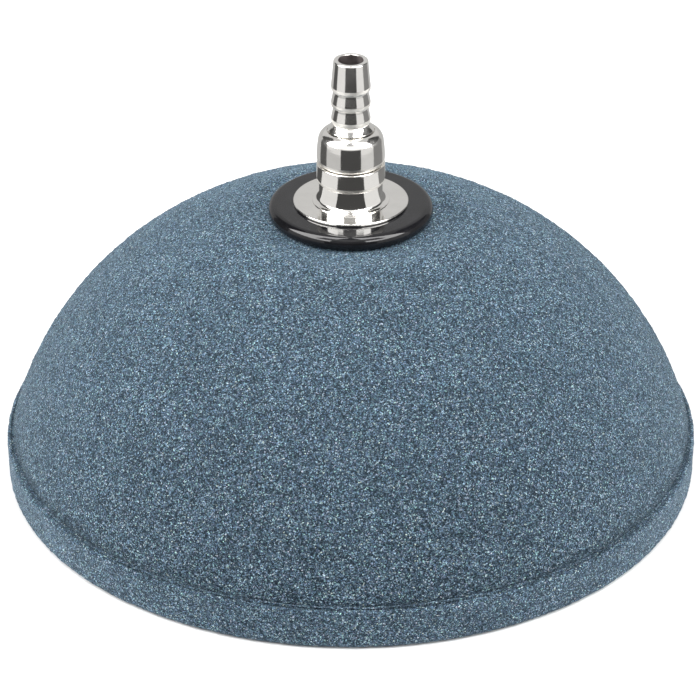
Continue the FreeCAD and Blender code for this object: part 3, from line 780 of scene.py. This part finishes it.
def card_material(name, brightness):
    """Plain glow on the side that faces the object, clear from behind."""
    material, tree, shader = new_material(name)
    tree.nodes.remove(shader)
    glow = node(tree, "ShaderNodeEmission", Strength=brightness)
    glow.inputs["Color"].default_value = (1.0, 0.995, 0.985, 1.0)
    clear = tree.nodes.new("ShaderNodeBsdfTransparent")
    side = tree.nodes.new("ShaderNodeNewGeometry")
    choice = tree.nodes.new("ShaderNodeMixShader")
    tree.links.new(side.outputs["Backfacing"], choice.inputs[0])
    tree.links.new(glow.outputs[0], choice.inputs[1])
    tree.links.new(clear.outputs[0], choice.inputs[2])
    tree.links.new(choice.outputs[0], tree.nodes["Material Output"].inputs["Surface"])
    return material


def reflector(name, azimuths, profile, brightness):
    """Card that only reflections see, bent round the fitting. Azimuth 0 is the front."""
    steps = max(2, math.ceil(abs(azimuths[1] - azimuths[0]) / 6.0))
    points = []
    for k in range(steps + 1):
        turn = math.radians(azimuths[0] + (azimuths[1] - azimuths[0]) * k / steps)
        points += [(r * math.sin(turn) * MM, -r * math.cos(turn) * MM, z * MM) for r, z in profile]
    n = len(profile)
    faces = [
        (k * n + j, k * n + j + 1, (k + 1) * n + j + 1, (k + 1) * n + j)
        for k in range(steps) for j in range(n - 1)
    ]
    mesh = bpy.data.meshes.new(name)
    mesh.from_pydata(points, [], faces)
    mesh.materials.append(card_material(name, brightness))
    card = bpy.data.objects.new(name, mesh)
    bpy.context.scene.collection.objects.link(card)
    card.visible_camera = False
    card.visible_diffuse = False
    card.visible_transmission = False
    card.visible_volume_scatter = False
    card.visible_shadow = False


def ball_profile(first, last):
    """Part of a ball round the fitting between two elevations in degrees."""
    steps = max(2, math.ceil((last - first) / 6.0))
    angles = [math.radians(first + (last - first) * k / steps) for k in range(steps + 1)]
    return [(CARD_REACH * math.cos(a), CARD_LEVEL + CARD_REACH * math.sin(a)) for a in angles]


CARD_REACH = 110.0
CARD_LEVEL = 64.0
# Azimuths from and to, then for the ball elevations from and to, and the brightness.
SKIRT_CARDS = (
    (-33, 33, 0.07), (33, 80, 0.92), (80, 128, 0.25), (128, 240, 0.62), (-120, -86, 0.09), (-86, -33, 0.90),
)
BALL_CARDS = (
    (-33, 33, -34, 8, 0.075), (33, 80, -34, -12, 0.72), (80, 128, -34, 16, 0.25), (128, 240, -34, 16, 0.58),
    (-120, -86, -34, 16, 0.10), (-86, -33, -34, -12, 0.62), (33, 80, -12, 16, 0.90),
    (-86, -33, -12, 16, 0.90), (-33, 33, 8, 16, 0.60), (-27, 20, 16, 88, 0.45), (20, 76, 16, 88, 10.0),
    (-91, -27, 16, 88, 10.0), (76, 132, 16, 55, 0.06), (-132, -91, 16, 55, 0.06),
    (132, 228, 16, 85, 0.68), (76, 132, 55, 85, 0.7), (-132, -91, 55, 85, 0.7),
)


def make_reflectors():
    """White and black cards round the fitting, as in a product studio."""
    foot = high("flange_disc") + 0.05
    for k, (first, last, brightness) in enumerate(SKIRT_CARDS):
        reflector(f"skirt_card_{k}", (first, last), [(6.3, foot), (12.5, foot + 3.9)], brightness)
    for k, (first, last, bottom, top, brightness) in enumerate(BALL_CARDS):
        reflector(f"ball_card_{k}", (first, last), ball_profile(bottom, top), brightness)
    reflector("bell_card", (-45, 45), [(40.0, 75.0), (40.0, 92.0), (34.0, 100.0)], 1.3)


def make_floor():
    mesh = bpy.data.meshes.new("floor")
    half = 4.0
    corners = [(-half, -half, 0), (half, -half, 0), (half, half, 0), (-half, half, 0)]
    mesh.from_pydata(corners, [], [(0, 1, 2, 3)])
    floor = bpy.data.objects.new("floor", mesh)
    bpy.context.scene.collection.objects.link(floor)
    material, tree, shader = new_material("pale_floor")
    cloud = node(tree, "ShaderNodeTexNoise", Scale=3.0, Detail=2.0)
    tree.links.new(object_place(tree), cloud.inputs["Vector"])
    tint = ramp(tree, cloud.outputs["Fac"], [(0.3, (0.86, 0.86, 0.86)), (0.7, (0.89, 0.89, 0.89))])
    tree.links.new(tint, shader.inputs["Base Color"])
    shader.inputs["Roughness"].default_value = 0.9
    floor.data.materials.append(material)


def make_camera():
    """Narrow lens in front of the object, looking 29.8 degrees down at its lower half."""
    pitch = math.radians(29.8)
    aim = Vector((-0.00015, 0.0, 0.0221))
    distance = 0.5203
    data = bpy.data.cameras.new("camera")
    data.sensor_width = 36.0
    data.lens = 142.7
    camera = bpy.data.objects.new("camera", data)
    camera.location = aim + Vector((0.0, -math.cos(pitch), math.sin(pitch))) * distance
    camera.rotation_euler = (math.pi / 2 - pitch, 0.0, 0.0)
    bpy.context.scene.collection.objects.link(camera)
    bpy.context.scene.camera = camera


def make_studio():
    scene = bpy.context.scene
    scene.view_settings.view_transform = "Standard"
    world = bpy.data.worlds.new("studio")
    world.use_nodes = True
    background = world.node_tree.nodes["Background"]
    background.inputs["Color"].default_value = (1.0, 1.0, 1.0, 1.0)
    background.inputs["Strength"].default_value = 0.55
    scene.world = world
    aim = (0.0, 0.0, 0.03)
    soft_panel("overhead", (0.0, -0.45, 0.8), aim, (0.8, 0.6), 5.0)
    soft_panel("left", (-0.80, -0.10, 0.45), aim, (0.5, 0.7), 9.0)
    soft_panel("right", (0.80, -0.10, 0.45), aim, (0.5, 0.7), 9.0)


make_camera()
make_floor()
make_studio()
make_reflectors()
make_dome()
make_base()
make_seam()
make_gasket()
make_disc()
make_stem()
make_seat_ring()
make_cap()
make_tail()
finish_cad_nodes()
